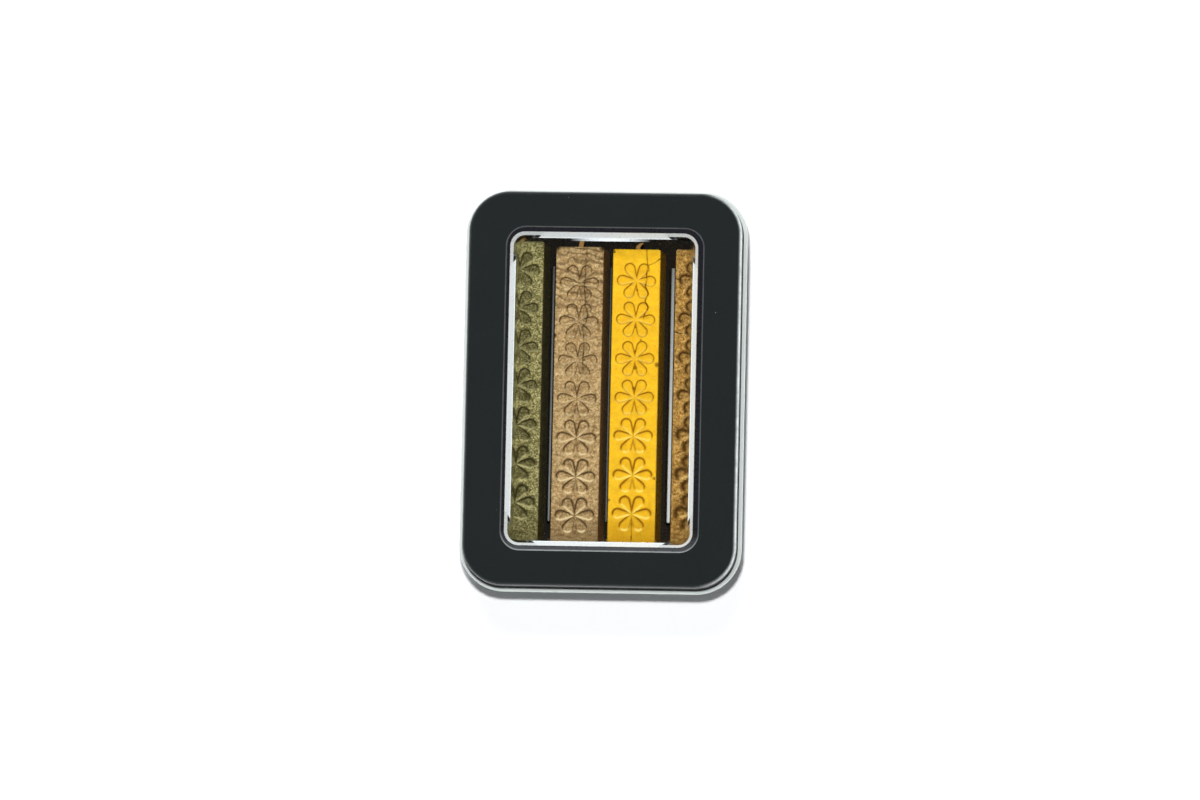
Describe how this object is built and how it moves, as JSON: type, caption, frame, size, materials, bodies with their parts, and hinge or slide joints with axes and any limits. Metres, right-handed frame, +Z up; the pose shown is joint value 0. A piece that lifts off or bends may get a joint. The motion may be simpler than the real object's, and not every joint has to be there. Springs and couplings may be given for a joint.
{
  "type": "window tin of sealing wax sticks",
  "caption": "Flat slip-lid tin with a clear dished window, a ribbed tray inside and sealing wax sticks pressed with rows of flowers.",
  "frame": {"origin": "on the table under the middle of the tin, which lies flat on its base", "axes": "+X across the tin, +Y along the tin and the sticks towards their wick ends, +Z up through the window"},
  "size_m": [0.0756, 0.1082, 0.021],
  "materials": {
    "black_lacquer": "satin",
    "clear_sheet": "clear gloss",
    "clear_tape": "matt",
    "black_tray": "gloss",
    "olive_wax": "satin wax",
    "bronze_wax": "satin wax",
    "gold_wax": "satin wax",
    "ochre_wax": "satin wax",
    "wick_cord": "waxed cotton"
  },
  "bodies": {
    "tin": {"tin_base": "black_lacquer", "stick_tray": "black_tray"},
    "lid": {"tin_lid": "black_lacquer", "window_tape": "clear_tape", "window_pane": "clear_sheet"},
    "stick_1": {"wax_stick_1": "olive_wax", "wick_1": "wick_cord"},
    "stick_2": {"wax_stick_2": "bronze_wax", "wick_2": "wick_cord"},
    "stick_3": {"wax_stick_3": "gold_wax", "wick_3": "wick_cord"},
    "stick_4": {"wax_stick_4": "ochre_wax", "wick_4": "wick_cord"}
  },
  "joints": [
    {"name": "lid_lift", "type": "slide", "parent": "tin", "child": "lid", "axis": [0, 0, 1], "range_m": [0, 0.04]},
    {"name": "stick_1_slide", "type": "slide", "parent": "tin", "child": "stick_1", "axis": [0, 1, 0], "range_m": [-0.0033, 0.0023]},
    {"name": "stick_2_slide", "type": "slide", "parent": "tin", "child": "stick_2", "axis": [0, 1, 0], "range_m": [-0.0019, 0.0036]},
    {"name": "stick_3_slide", "type": "slide", "parent": "tin", "child": "stick_3", "axis": [0, 1, 0], "range_m": [-0.0014, 0.0041]},
    {"name": "stick_4_slide", "type": "slide", "parent": "tin", "child": "stick_4", "axis": [0, 1, 0], "range_m": [-0.0015, 0.004]}
  ]
}
